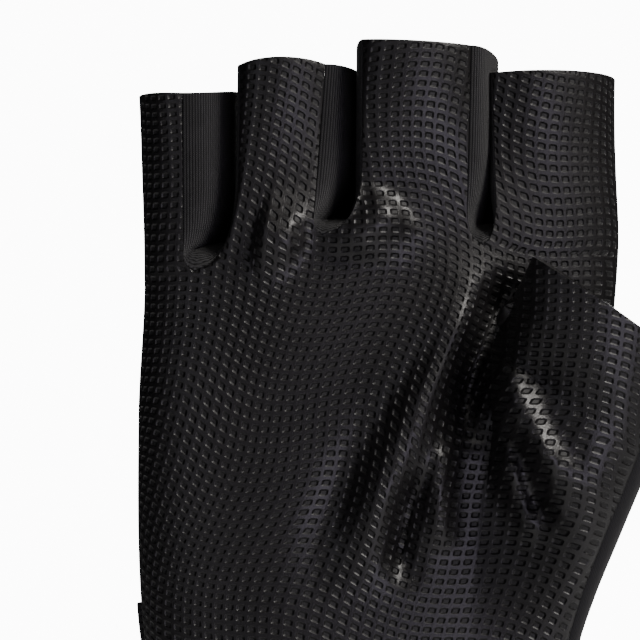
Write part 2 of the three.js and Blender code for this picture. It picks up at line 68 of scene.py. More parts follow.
# The angle by which the back's edge falls short of the right side at the wrist, and how many
# lobes of equal width would fit side by side there, on the palm and on the back
BACK_SHORT = 0.9
PALM_LOBES, BACK_LOBES = 4.2, 4.0
# How full the arcs of a strip, a finger and the thumb's back are (a circle's is 1), the power
# that makes a strip's left branch full, and the share of a finger over which its tube forms
STRIP_FULL, FINGER_FULL, THUMB_BACK_FULL = 0.3, 0.92, 0.62
KNIT_FULL = 1.8
FINGER_FORMS = 0.95
# The strap's place, and the angles past the left seam and short of the back's edge at its ends
STRAP_FROM, STRAP_HEIGHT, STRAP_WALL = 9.5, 43.0, 1.8
STRAP_START, STRAP_STOP = 0.2, 0.03
TAB_WIDTH, TAB_HEIGHT, TAB_CORNER, TAB_ACROSS, TAB_WALL = 34.0, 30.0, 6.0, -8.0, 2.0
# The clearance of neighbours, and how far a strip's edges stay inside the leather's
SEAM_GAP, STRIP_INSET = 0.3, 0.15
# Middles that faces look away from
HAND_MIDDLE, THUMB_MIDDLE = (0.0, -2.0, 0.0), (30.0, -8.0, 70.0)

# Grid steps at fineness 1: up to the web, on to the crotches, along the fingers, and across
# each lobe of the palm and of the back
WEB_STEPS, CROTCH_STEPS, FINGER_STEPS = 14, 3, 6
PALM_STEPS, BACK_STEPS = (7, 6, 7, 3, 5), (5, 4, 5, 6)
# The back's steps up to the web; the thumb's across its front and back, and up its free back;
# a strip's along and across
BACK_WEB_STEPS = 10
THUMB_STEPS, THUMB_BACK_STEPS, THUMB_FREE_STEPS = 11, 8, 12
STRIP_STEPS = (16, 7)
# The strap's and the tab's steps, up and across
STRAP_GRID, TAB_GRID = (40, 120), (40, 44)


def table(names, rows):
    """Columns by name from rows of numbers."""
    return dict(zip(names.split(), np.array(rows, float).T))


# The hand's sections. Shares of length, width, palm depth and back depth, and the squareness.
SECTIONS = table("at left right front back square", [
    (0.00, -0.5 * WRIST_WIDTH / WIDTH, 0.5 * WRIST_WIDTH / WIDTH,
     0.5 * WRIST_DEPTH / PALM_DEPTH, 0.5 * WRIST_DEPTH / BACK_DEPTH, 2.1),
    (0.16, -0.446, 0.388, 1.19, 1.38, 2.2),
    (0.32, -0.492, 0.400, 1.08, 1.14, 2.4),
    (0.55, -0.499, 0.470, 1.00, 1.00, 2.6),
    (0.71, -0.486, 0.499, 0.92, 0.92, 2.6),
    (0.83, -0.493, 0.509, 0.84, 0.80, 2.6),
    (1.00, -0.511, 0.517, 0.78, 0.72, 2.6),
])

# The knit strips: each tip, and its branches to the finger on its left and on its right, in
# shares of the width, of the palm's or the back's depth and of the length. "low" is the front
# edge's x at the foot of a branch, and "round" the share of the branch that the tip rounds.
STRIPS = (
    dict(tip=-0.379, tip_front=0.726, back_tip=-0.281, tip_back=0.735, web=0.762,
         round=(0.10, 0.46), low=(-0.402, -0.290), front_x=(-0.404, -0.283), front_y=(-0.74, -0.70),
         front_z=(0.938, 0.972), back_x=(-0.290, -0.272), back_y=(0.50, 0.52),
         back_z=(0.944, 0.962)),
    dict(tip=-0.116, tip_front=0.769, back_tip=-0.035, tip_back=0.765, web=0.790,
         round=(0.12, 0.34), low=(-0.136, -0.034), front_x=(-0.109, -0.031), front_y=(-0.74, -0.96),
         front_z=(0.972, 1.000), back_x=(-0.034, -0.026), back_y=(0.52, 0.54),
         back_z=(0.966, 0.980)),
    dict(tip=0.215, tip_front=0.757, back_tip=0.262, tip_back=0.765, web=0.785,
         round=(0.20, 0.30), low=(0.180, 0.246), front_x=(0.190, 0.236), front_y=(-0.92, -0.70),
         front_z=(0.993, 0.962), back_x=(0.256, 0.268), back_y=(0.54, 0.54),
         back_z=(0.980, 0.958)),
)

# The hems of little, ring, middle and index finger: heights at the seams, and the rise between
HEMS = table("left right rise", [
    (0.932, 0.938, 0.003),
    (0.972, 0.972, 0.008),
    (1.000, 0.993, 0.001),
    (0.962, 0.954, 0.006),
])

# The thumb's sections from the wrist over the web (1) to its hem (2): its inner and outer line in
# shares of reach, forward depth and length, how far its leather stands up from the palm (wall,
# 0 to 1) and how full its arc is
THUMB = table("at inner_x inner_y inner_z outer_x outer_y outer_z wall full", [
    (0.00, 0.25, -0.60, 0.000, 0.5 * WRIST_WIDTH / THUMB_REACH, 0.00, 0.000, 0.00, 1.00),
    (0.25, 0.27, -0.65, 0.156, 0.635, -0.16, 0.142, 0.00, 1.00),
    (0.50, 0.30, -0.60, 0.312, 0.625, -0.44, 0.268, 0.10, 0.95),
    (0.66, 0.33, -0.55, 0.412, 0.665, -0.62, 0.338, 0.25, 0.90),
    (0.82, 0.37, -0.50, 0.512, 0.740, -0.78, 0.414, 0.60, 0.85),
    (1.00, 0.40, -0.42, 0.625, 0.842, -0.90, 0.506, 1.00, 0.80),
    (1.50, 0.450, -0.72, 0.684, 0.905, -0.96, 0.575, 1.00, 0.80),
    (2.00, 0.515, -0.88, 0.738, 0.956, -1.00, 0.634, 1.00, 0.80),
])

# The shares over which a fold fades in and out along its path and towards the hand's sides, and
# the thumb's folds towards its seams; and those of a strip's branch, from its tip, over which
# its straight way in, its raised web and the left branch's fullness come and go
FOLD_IN, FOLD_OUT, FOLD_SIDE, THUMB_SEAM = 0.25, 0.35, 0.6, 0.15
TIP_STRAIGHT, TIP_WEB, TIP_FULL = 0.35, 0.3, 0.5
# The row at which the thumb's back leaves the index finger's edge
THUMB_FREE = 1.4

# Folds: height and width in palm depths, and the path in shares of width and length
FOLDS = {
    "ring pad": (0.25, 0.36, (
        (-0.262, 0.772), (-0.225, 0.770), (-0.185, 0.766), (-0.140, 0.752))),
    "middle pad": (0.26, 0.38, (
        (0.02, 0.815), (-0.01, 0.787), (-0.045, 0.765), (-0.06, 0.735))),
    "palm ridge": (0.42, 0.42, (
        (0.300, 0.745), (0.208, 0.692), (0.143, 0.633), (0.086, 0.574), (0.044, 0.516),
        (0.010, 0.457), (-0.009, 0.398), (0.000, 0.330))),
    "thumb valley": (-0.50, 0.24, (
        (0.297, 0.728), (0.242, 0.680), (0.197, 0.620), (0.174, 0.565), (0.182, 0.508))),
    "shallow valley": (-0.13, 0.24, (
        (0.250, 0.755), (0.126, 0.650), (0.036, 0.580), (-0.058, 0.492), (-0.110, 0.420),
        (-0.140, 0.315))),
    "crease under the ridge": (-0.30, 0.16, (
        (0.096, 0.505), (0.053, 0.441), (0.044, 0.401), (0.061, 0.345))),
    "middle ray": (0.20, 0.14, (
        (0.137, 0.540), (0.126, 0.480), (0.126, 0.433), (0.139, 0.385))),
    "inner ray": (0.18, 0.15, ((0.240, 0.525), (0.290, 0.457), (0.331, 0.405))),
    "thumb crease": (-0.24, 0.15, ((0.265, 0.560), (0.307, 0.480), (0.348, 0.415))),
    "thumb ridge": (0.17, 0.20, (
        (0.245, 0.655), (0.262, 0.592), (0.292, 0.548), (0.341, 0.495), (0.400, 0.445))),
    "thumb hollow": (-0.07, 0.20, ((0.300, 0.640), (0.356, 0.544), (0.425, 0.470))),
}


# ---------------------------------------------------------------- curves and sections

def ease(t):
    """0 below 0, 1 above 1, and the smooth cubic 3tt - 2ttt between."""
    s = np.clip(t, 0.0, 1.0)
    return s * s * (3.0 - 2.0 * s)


def mix(a, b, t):
    """a plus t times the way from a to b."""
    return a + (b - a) * t


def blend(p, q, t):
    """The same for points, with one t for each point."""
    return p + (q - p) * np.asarray(t)[..., None]


def point(x, y, z):
    """Points from their three coordinates."""
    return np.stack(np.broadcast_arrays(x, y, z), axis=-1).astype(float)


def unit(p):
    """Directions of length 1."""
    return p / np.maximum(np.linalg.norm(p, axis=-1, keepdims=True), 1e-9)


def column(rows, key, t):
    """One column of a table read at t: a cubic between rows, whose slope at a row is taken
    across its neighbours."""
    t = np.asarray(t, float)
    at, value = rows["at"], rows[key]
    slope = np.gradient(value, at, edge_order=1)
    slope[1:-1] = (value[2:] - value[:-2]) / (at[2:] - at[:-2])
    i = np.searchsorted(at[1:-1], t, side="left")
    span = at[i + 1] - at[i]
    s = (t - at[i]) / span
    rise = value[i + 1] - value[i]
    bend = (slope[i] * span - rise) * (1.0 - s) + (rise - slope[i + 1] * span) * s
    return value[i] + rise * s + s * (1.0 - s) * bend


def arc(a, way_a, b, way_b, t, full):
    """A cubic from a to b that leaves along way_a and arrives along way_b. It is round where
    full is 1: the pull is full times the distance over the squared cosine of a quarter turn."""
    t = np.asarray(t, float)[..., None]
    way_a, way_b = unit(way_a), unit(way_b)
    turn = np.arccos(np.clip(np.sum(way_a * way_b, axis=-1), -1.0, 1.0))
    pull = np.asarray(full) * np.linalg.norm(b - a, axis=-1) / np.cos(turn / 4.0) ** 2
    pull = pull[..., None]
    s = 1.0 - t
    along = a + (b - a) * (t * t * (3.0 - 2.0 * t))
    return along + way_a * pull * t * s * s - way_b * pull * t * t * s


def hand(angle, z):
    """The hand's section at height z, a superellipse between its left and right side: angle 0
    is the left side, a quarter turn the palm's middle, and negative angles lie on the back."""
    t = z / LENGTH
    left, right = WIDTH * column(SECTIONS, "left", t), WIDTH * column(SECTIONS, "right", t)
    power = 2.0 / column(SECTIONS, "square", t)
    c, s = np.cos(angle), np.sin(angle)
    across = np.sign(c) * np.abs(c) ** power
    depth = np.where(s > 0, PALM_DEPTH * column(SECTIONS, "front", t),
                     BACK_DEPTH * column(SECTIONS, "back", t))
    out = np.sign(s) * np.abs(s) ** power
    return point(0.5 * (left + right) - 0.5 * (right - left) * across, -depth * out, z)


def section_normal(p, angle):
    """Outward across the hand's section: a quarter turn from the way along it."""
    step = 0.01
    way = unit(hand(angle - step, p[..., 2]) - hand(angle + step, p[..., 2]))
    return point(-way[..., 1], way[..., 0], 0.0)


def angle_at(x, z):
    """The angle at which the hand's section passes x on the palm's side."""
    t = z / LENGTH
    left, right = WIDTH * column(SECTIONS, "left", t), WIDTH * column(SECTIONS, "right", t)
    share = (left + right - 2.0 * x) / (right - left)
    power = 0.5 * column(SECTIONS, "square", t)
    return np.arccos(np.clip(np.sign(share) * np.abs(share) ** power, -1.0, 1.0))


def fold_height(x, z):
    """The sum of the folds at x, z: each is its height times a bell of the distance to its
    path, and it fades out towards both of the path's ends."""
    total = np.zeros(np.broadcast(x, z).shape)
    for height, wide, path in FOLDS.values():
        path = np.array(path) * (WIDTH, LENGTH)
        near = np.full(total.shape, np.inf)
        along = np.zeros(total.shape)
        for i, (start, stop) in enumerate(zip(path[:-1], path[1:])):
            way = stop - start
            s = ((x - start[0]) * way[0] + (z - start[1]) * way[1]) / (way @ way)
            s = np.clip(s, 0.0, 1.0)
            d = np.hypot(x - start[0] - s * way[0], z - start[1] - s * way[1])
            along = np.where(d < near, (i + s) / (len(path) - 1), along)
            near = np.minimum(d, near)
        fade = ease(along / FOLD_IN) * ease((1.0 - along) / FOLD_OUT)
        total += height * PALM_DEPTH * fade * np.exp(-(near / (wide * PALM_DEPTH)) ** 2)
    return total


def folded(p):
    """Points moved towards the palm's side by the folds, the sides and the back left alone."""
    facing = ease(-p[..., 1] / (FOLD_SIDE * PALM_DEPTH))
    return p - facing[..., None] * point(0.0, fold_height(p[..., 0], p[..., 2]), 0.0)


# ---------------------------------------------------------------- seams of the fingers

def strip_edge(strip, t, back):
    """The front or back edge of a knit strip, from t = -1 at the left finger's hem over the
    round tip at 0 to t = 1 at the right finger's hem."""
    t = np.asarray(t, float)
    side = "back" if back else "front"

    def pick(key):
        """The left branch's value where t is below 0, and the right branch's elsewhere."""
        return np.where(t < 0, *strip[key])

    s = np.abs(t)
    tip_z = LENGTH * strip["tip_back" if back else "tip_front"]
    tip_x = WIDTH * strip["back_tip" if back else "tip"]
    angle = angle_at(tip_x, tip_z)
    tip = hand(-angle if back else angle, tip_z)
    x = WIDTH * pick(side + "_x")
    y = (BACK_DEPTH if back else PALM_DEPTH) * pick(side + "_y")
    z = LENGTH * pick(side + "_z")
    low = x if back else WIDTH * pick("low")
    bend = np.sqrt(1.0 - (1.0 - np.minimum(1.0, s / pick("round"))) ** 2)
    p = point(mix(tip[0], mix(low, x, s), bend), mix(tip[1], y, ease(1.4 * s)),
              mix(tip_z, z, s))
    return p if back else folded(p)


def side_seam(end, hem, v, angle):
    """A side seam of the hand (v up to 1) and of the outer finger above it (v up to 2)."""
    z = LENGTH * np.where(v < 1, end * v, mix(end, hem, v - 1.0))
    return hand(angle, z)


def left_seam(v):
    """The seam on the little finger's side."""
    return side_seam(LEFT_END, HEMS["left"][0], v, -SIDE_WRAP)


def right_seam(v):
    """The seam on the index finger's side."""
    return side_seam(RIGHT_END, HEMS["right"][3], v, np.pi + SIDE_WRAP)


def finger_corners(k, v):
    """The seams that finger k's section passes through, front left first, at v from 1 to 2."""
    t = v - 1.0
    corners = [left_seam(v) if k == 0 else strip_edge(STRIPS[k - 1], t, False),
               right_seam(v) if k == 3 else strip_edge(STRIPS[k], -t, False)]
    if k < 3:
        corners.append(strip_edge(STRIPS[k], -t, True))
    if k > 0:
        corners.append(strip_edge(STRIPS[k - 1], t, True))
    return corners


def corner_way(corners, n):
    """The direction in which a section passes corner n: midway between its two sides."""
    here, after = corners[n], corners[(n + 1) % len(corners)]
    flat = np.array((1.0, 1.0, 0.0))
    return unit(unit((here - corners[n - 1]) * flat) + unit((after - here) * flat))


def finger_arc(k, v, n, t):
    """Finger k's wall from corner n to the next corner."""
    corners = finger_corners(k, v)
    m = (n + 1) % len(corners)
    return arc(corners[n], corner_way(corners, n), corners[m], corner_way(corners, m), t,
               FINGER_FULL)


# ---------------------------------------------------------------- palm, thumb and back

WEB_ROW = WEB_HEIGHT / WEB_END
ROW_ENDS = (LEFT_END, *(s["tip_front"] for s in STRIPS), WEB_END, RIGHT_END)
BACK_ENDS = (LEFT_END, *(s["tip_back"] for s in STRIPS), RIGHT_END)


def lobe_angles(v):
    """The angles at which the palm's lobes meet at row v, from the left seam to the right."""
    v = np.asarray(v, float)
    low = np.minimum(v, WEB_ROW)
    web = angle_at(THUMB_REACH * column(THUMB, "inner_x", low / WEB_ROW), LENGTH * WEB_END * low)
    bounds = [mix(mix(-SIDE_WRAP, web, (i + 1) / PALM_LOBES),
                  angle_at(WIDTH * s["tip"], LENGTH * s["tip_front"]), ease(v))
              for i, s in enumerate(STRIPS)]
    wrap = np.full(v.shape, SIDE_WRAP)
    return [-wrap, *bounds, web, np.pi + wrap]


def palm_body(lobe, c, v):
    """The palm up to the finger crotches: between two lobe lines, on the hand's section."""
    angles = lobe_angles(v)
    z = LENGTH * v * mix(ROW_ENDS[lobe], ROW_ENDS[lobe + 1], c)
    return folded(hand(mix(angles[lobe], angles[lobe + 1], c), z))


def palm_finger(lobe, c, v):
    """The front of a finger tube, v from 1 to 2: the hand's section, pulled onto the seams,
    turns into the tube's own round front."""
    k = min(lobe, 3)
    angles = lobe_angles(np.ones(1))
    middle = float(((angles[4] - angles[3]) / (angles[5] - angles[3]))[0])
    whole = c if lobe < 3 else mix(0.0, middle, c) if lobe == 3 else mix(middle, 1.0, c)
    first, last = angles[k][0], angles[5 if k == 3 else k + 1][0]
    start = LENGTH * mix(ROW_ENDS[lobe], ROW_ENDS[lobe + 1], c)
    top = LENGTH * (mix(HEMS["left"][k], HEMS["right"][k], whole)
                    + HEMS["rise"][k] * 4.0 * whole * (1.0 - whole))
    z = mix(start, top, v - 1.0)
    left_edge, right_edge = finger_arc(k, v, 0, 0.0 * v), finger_arc(k, v, 0, 1.0 + 0.0 * v)
    fix_left = left_edge - folded(hand(first, left_edge[..., 2]))
    fix_right = right_edge - folded(hand(last, right_edge[..., 2]))
    on_hand = folded(hand(mix(first, last, whole), z))
    pulled = (on_hand + fix_left * ((1.0 - whole) ** 3)[..., None]
              + fix_right * (whole ** 3)[..., None])
    p = blend(pulled, finger_arc(k, v, 0, whole), ease((v - 1.0) / FINGER_FORMS))
    seam = (whole < 1e-9) | (whole > 1.0 - 1e-9)
    p[..., 2] = np.where(seam, np.where(whole < 0.5, left_edge[..., 2], right_edge[..., 2]), z)
    return p


def thumb_inner(r):
    """The thumb's inner line: the web line of the palm, and above the web the tube's seam."""
    on_palm = palm_body(3, np.ones_like(r), WEB_ROW * np.minimum(r, 1.0))
    free = point(THUMB_REACH * column(THUMB, "inner_x", r),
                 THUMB_FORWARD * column(THUMB, "inner_y", r),
                 LENGTH * column(THUMB, "inner_z", r))
    return np.where((r <= 1.0)[..., None], on_palm, free)


def thumb_outer(r):
    """The thumb's outer seam."""
    return point(THUMB_REACH * column(THUMB, "outer_x", r),
                 THUMB_FORWARD * column(THUMB, "outer_y", r),
                 LENGTH * column(THUMB, "outer_z", r))


def leaning(across, share, depth, rise):
    """A way that takes this share of another way's x, this depth, and this share of its z."""
    return unit(point(share * across[..., 0], depth, rise * across[..., 2]))


def thumb_ways(r):
    """The ways in which the leather leaves the inner line and reaches the outer seam, and in
    which the fabric goes on behind that seam. The leather leans out most at the web, by a bell
    of the distance to it."""
    across = unit(thumb_outer(r) - thumb_inner(r))
    v = np.minimum(1.0, r) * WEB_ROW
    along = unit(palm_body(3, np.ones_like(r), v) - palm_body(3, np.full_like(r, 0.9), v))
    lean = 0.5 + 0.25 * np.exp(-((r - 1.0) / 0.2) ** 2)
    up = leaning(across, -lean, -0.85, -0.5)
    inner_way = unit(blend(along, up, column(THUMB, "wall", r)))
    return inner_way, leaning(across, 0.35, 0.93, 0.35), leaning(across, 0.9, 0.6, 0.9)


def thumb_front(c, r):
    """The thumb's leather: an arc from the inner line to the outer seam, with the folds."""
    inner_way, outer_way, _ = thumb_ways(r)
    p = arc(thumb_inner(r), inner_way, thumb_outer(r), outer_way, c, column(THUMB, "full", r))
    fade = ease(c / THUMB_SEAM) * ease((1.0 - c) / THUMB_SEAM)
    return p - point(0.0, fade * fold_height(p[..., 0], p[..., 2]), 0.0)


def back_edge(share):
    """The angle of the back's edge on the thumb's side, at this share of the way to the web."""
    return mix(BACK_SHORT, SIDE_WRAP, ease(share)) - np.pi


def thumb_back(c, r):
    """The thumb's fabric: from the outer seam round to the back of the hand (r up to 1), to
    the index finger's lower edge behind the thumb (up to THUMB_FREE) and then to the thumb's
    inner seam."""
    _, _, beyond = thumb_ways(r)
    low = np.minimum(r, 1.0)
    z = LENGTH * RIGHT_END * WEB_ROW * low
    back_line = hand(back_edge(low), z)
    back_way = hand(np.pi + SIDE_WRAP + 0.1, z) - hand(np.pi + SIDE_WRAP, z)
    s = np.clip((r - 1.0) / (THUMB_FREE - 1.0), 0.0, 1.0)
    index_edge = palm_body(4, 1.0 - s, np.full_like(r, WEB_ROW))
    index_way = point(-1.0, mix(0.6, -0.4, s), 0.35)
    w = np.clip((r - THUMB_FREE) / (2.0 - THUMB_FREE), 0.0, 1.0)
    free = thumb_inner(1.0 + w)
    free_way = blend(point(-1.0, -0.4, 0.35) + 0.0 * free, thumb_ways(1.0 + w)[0], ease(w))
    low_rows, mid_rows = (r <= 1.0)[..., None], (r <= THUMB_FREE)[..., None]
    to = np.where(low_rows, back_line, np.where(mid_rows, index_edge, free))
    way = np.where(low_rows, back_way, np.where(mid_rows, index_way, free_way))
    full = np.where(r <= 1.0, 0.8, mix(0.8, THUMB_BACK_FULL, r - 1.0))
    return arc(thumb_outer(r), beyond, to, way, c, full)


def back_angles(v):
    """The angles at which the back's lobes meet at row v."""
    v = np.asarray(v, float)
    right = back_edge(v / WEB_ROW)
    bounds = [mix(mix(-SIDE_WRAP, right, (i + 1) / BACK_LOBES),
                  -angle_at(WIDTH * s["back_tip"], LENGTH * s["tip_back"]),
                  ease(np.minimum(v, 1.0))) for i, s in enumerate(STRIPS)]
    return [np.full(v.shape, -SIDE_WRAP), *bounds, right]


def back_body(k, c, v):
    """The back of the hand up to the finger crotches."""
    angles = back_angles(v)
    z = LENGTH * v * mix(BACK_ENDS[k], BACK_ENDS[k + 1], c)
    return hand(mix(angles[k], angles[k + 1], c), z)


def back_finger(k, c, v):
    """The back of finger k, v from 1 to 2, made as its front is."""
    angles = back_angles(np.ones(1))
    first, last = angles[k][0], angles[k + 1][0]
    n = 1 if k == 3 else 2
    left_edge, right_edge = finger_arc(k, v, n, 1.0 + 0.0 * v), finger_arc(k, v, n, 0.0 * v)
    z = mix(left_edge[..., 2], right_edge[..., 2], c)
    fix_left, fix_right = left_edge - hand(first, z), right_edge - hand(last, z)
    pulled = (hand(mix(first, last, c), z) + fix_left * ((1.0 - c) ** 3)[..., None]
              + fix_right * (c ** 3)[..., None])
    return blend(pulled, finger_arc(k, v, n, 1.0 - c), ease((v - 1.0) / FINGER_FORMS))


def strip_wall(index, w, t):
    """The wall of a knit strip from its front edge (w = 0) to its back edge (w = 1): an arc,
    raised at the tip by the web's height times 4w(1 - w). The branch on the finger to its left
    is full: it goes 1 - (1 - w)^n of the way across and w^n of the way in, n being KNIT_FULL."""
    strip = STRIPS[index]
    front, back = strip_edge(strip, t, False), strip_edge(strip, t, True)
    v = 1.0 + np.abs(t)
    left, right = finger_corners(index, v), finger_corners(index + 1, v)
    is_left = (t < 0)[..., None]
    way_in = np.where(is_left, corner_way(left, 1), -corner_way(right, 0))
    way_out = np.where(is_left, corner_way(left, 2), -corner_way(right, len(right) - 1))
    s = ease(np.abs(t) / TIP_STRAIGHT)
    straight = point(0.0, 1.0, 0.0) + 0.0 * way_in
    p = arc(front, blend(straight, way_in, s), back, blend(straight, way_out, s), w, STRIP_FULL)
    lift = LENGTH * strip["web"] - 0.5 * (front[..., 2] + back[..., 2])
    lift = np.maximum(0.0, lift * (1.0 - ease(np.abs(t) / TIP_WEB))) * 4.0 * w * (1.0 - w)
    full = point(mix(front[..., 0], back[..., 0], 1.0 - (1.0 - w) ** KNIT_FULL),
                 mix(front[..., 1], back[..., 1], w ** KNIT_FULL), p[..., 2])
    return blend(p + point(0.0, 0.0, lift), full, ease(-t / TIP_FULL))


# ---------------------------------------------------------------- meshes from grids

# Corners are told apart on a lattice with this many steps to a millimetre
MERGE = 200.0


def steps(start, stop, n):
    """n even steps from start to stop."""
    return np.linspace(start, stop, n + 1)


def grid(cols, rows, shape):
    """A patch: the shape's points at every row and column."""
    return shape(*np.meshgrid(cols, rows))


def spans(p):
    """Lengths along each row of a patch from its first column, seen from above."""
    step = np.linalg.norm(np.diff(p[..., :2], axis=1), axis=-1)
    return np.concatenate([np.zeros((len(p), 1)), np.cumsum(step, axis=1)], axis=1)


def laid(p, across):
    """A patch with its flat coordinates: the lengths across, and the points' heights."""
    return p, np.stack([across, p[..., 2]], -1)


def build(name, patches, outward, replaces, finish, wall, rim=0.35, side=-1.0):
    """One mesh from patches of points and their flat coordinates. Corners that lie together
    are merged, faces that shrank to nothing are left out, and outward is a point function
    whose result the faces look along. The wall lies behind the surface (side -1) or in front
    of it (1), and its rims are rounded."""
    points = np.concatenate([p.reshape(-1, 3) for p, _ in patches])
    flat = np.concatenate([uv.reshape(-1, 2) for _, uv in patches])
    quads, offset = [], 0
    for p, _ in patches:
        rows, cols = p.shape[:2]
        i = offset + np.arange(rows * cols).reshape(rows, cols)
        quads.append(np.stack([i[:-1, :-1], i[:-1, 1:], i[1:, 1:], i[1:, :-1]], -1).reshape(-1, 4))
        offset += rows * cols
    quads = np.concatenate(quads)
    _, first, known = np.unique(np.round(points * MERGE), axis=0, return_index=True,
                                return_inverse=True)
    known = known.ravel()
    corners = known[quads]
    same = corners == np.roll(corners, -1, axis=1)
    whole = quads[~same.any(axis=1)]
    # A quad with one side gone is a triangle of its other three corners
    short = quads[same.sum(axis=1) == 1]
    gone = same[same.sum(axis=1) == 1].argmax(axis=1)
    order = (gone[:, None] + np.array([1, 2, 3])) % 4
    threes = np.take_along_axis(short, order, axis=1)
    faces = [known[whole].tolist(), known[threes].tolist()]
    mesh = bpy.data.meshes.new(name)
    mesh.from_pydata((points[first] * MM).tolist(), [], faces[0] + faces[1])
    layer = mesh.uv_layers.new(name="cut")
    uv = np.concatenate([flat[whole].reshape(-1, 2), flat[threes].reshape(-1, 2)])
    layer.data.foreach_set("uv", uv.ravel().astype(np.float32))
    mesh.polygons.foreach_set("use_smooth", np.ones(len(mesh.polygons), bool))
    mesh.validate()
    mesh.update()
    piece = bpy.data.objects.new(name, mesh)
    bpy.context.scene.collection.objects.link(piece)
    normal, centre = face_normals(mesh)
    if np.mean(np.sum(normal * outward(centre / MM), axis=-1)) < 0:
        mesh.flip_normals()
    thick = piece.modifiers.new("Wall", "SOLIDIFY")
    thick.thickness = wall * MM
    thick.offset = side
    thick.use_even_offset = False
    thick.use_quality_normals = True
    edge = piece.modifiers.new("Rim", "BEVEL")
    edge.width = rim * MM
    edge.segments = 2
    edge.limit_method = "ANGLE"
    edge.angle_limit = np.radians(60.0)
    mesh.materials.append(finish)
    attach(piece, "root")
    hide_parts(replaces)


def face_normals(mesh):
    """The faces' normals and centres as arrays."""
    normal = np.empty(len(mesh.polygons) * 3)
    centre = np.empty(len(mesh.polygons) * 3)
    mesh.polygons.foreach_get("normal", normal)
    mesh.polygons.foreach_get("center", centre)
    return normal.reshape(-1, 3), centre.reshape(-1, 3)


def from_middle(p):
    """Away from the hand's middle, seen from above."""
    return unit((p - HAND_MIDDLE) * (1.0, 1.0, 0.0))


def beside(middle, p):
    """To the left at points left of a middle x, and to the right at the others."""
    return np.sign(p[:, :1] - middle) * (1.0, 0.0, 0.0)


# ---------------------------------------------------------------- finishes

class Value:
    """A socket that takes part in Python arithmetic through Math nodes."""

    def __init__(self, finish, socket):
        self.finish, self.socket = finish, socket

    def math(self, operation, *others):
        """A Math node on this value and up to two others."""
        return self.finish.node("Math", {"operation": operation},
                                dict(enumerate((self, *others))))

    def __add__(self, other):
        return self.math("ADD", other)

    __radd__ = __add__

    def __mul__(self, other):
        return self.math("MULTIPLY", other)

    __rmul__ = __mul__

    def __sub__(self, other):
        return self.math("SUBTRACT", other)

    def __rsub__(self, other):
        return self.finish.node("Math", {"operation": "SUBTRACT"}, {0: other, 1: self})

    def __truediv__(self, other):
        return self.math("DIVIDE", other)

    def __pow__(self, other):
        return self.math("POWER", other)

    def __abs__(self):
        return self.math("ABSOLUTE")

    def cell(self):
        """How far into its repeat the value is, from 0 to 1."""
        return self.math("FRACT")

    def zigzag(self):
        """0 in the middle of each repeat, and 1 at its ends."""
        return abs(self.cell() - 0.5) * 2.0

    def smooth(self, low, high):
        """0 at low, 1 at high, with a smooth step between."""
        return self.finish.node("MapRange", {"interpolation_type": "SMOOTHSTEP"},
                                {"Value": self, "From Min": low, "From Max": high})


class Finish:
    """A material made of nodes. Constants stand on the shader's own sockets, by their names."""

    def __init__(self, name, constants):
        self.material = bpy.data.materials.new(name)
        self.material.use_nodes = True
        self.tree = self.material.node_tree
        self.shader = self.tree.nodes["Principled BSDF"]
        for key, value in constants.items():
            self.shader.inputs[key].default_value = value

    def node(self, kind, settings, sockets, output=0):
        """One node: its type, its settings, its sockets' values or links, and its result."""
        made = self.tree.nodes.new("ShaderNode" + kind)
        for key, value in settings.items():
            setattr(made, key, value)
        for key, value in sockets.items():
            if isinstance(value, Value):
                self.tree.links.new(value.socket, made.inputs[key])
            else:
                made.inputs[key].default_value = value
        return Value(self, made.outputs[output])

    def flat(self):
        """The piece's flat coordinates in millimetres, across and along."""
        uv = self.node("UVMap", {"uv_map": "cut"}, {})
        return (self.node("SeparateXYZ", {}, {0: uv}, 0),
                self.node("SeparateXYZ", {}, {0: uv}, 1), uv)

    def place(self):
        """Object coordinates, in metres."""
        return self.node("TexCoord", {}, {}, "Object")

    def noise(self, where, scale, detail, rough=0.5):
        """Smooth noise from 0 to 1 with this many waves in a unit."""
        return self.node("TexNoise", {}, {"Vector": where, "Scale": scale, "Detail": detail,
                                          "Roughness": rough})

    def tint(self, share, low, high):
        """A colour between two colours."""
        return self.node("Mix", {"data_type": "RGBA"}, {0: share, 6: low, 7: high}, 2)

    def wire(self, key, value):
        """A varying value into one of the shader's sockets."""
        self.tree.links.new(value.socket, self.shader.inputs[key])

    def relief(self, height):
        """A height in millimetres into the shader's normal."""
        self.wire("Normal", self.node("Bump", {}, {"Distance": MM, "Height": height}))


def linear(colour, level):
    """An on-screen colour as linear light, scaled: the standard curve, with a straight foot."""
    c = np.array(colour, float)
    c = np.where(c <= 0.04045, c / 12.92, ((c + 0.055) / 1.055) ** 2.4) * level
    return (*c.tolist(), 1.0)


def wave(where, length):
    """A sine wave of this length along a coordinate."""
    return (where * (2.0 * np.pi / length)).math("SINE")


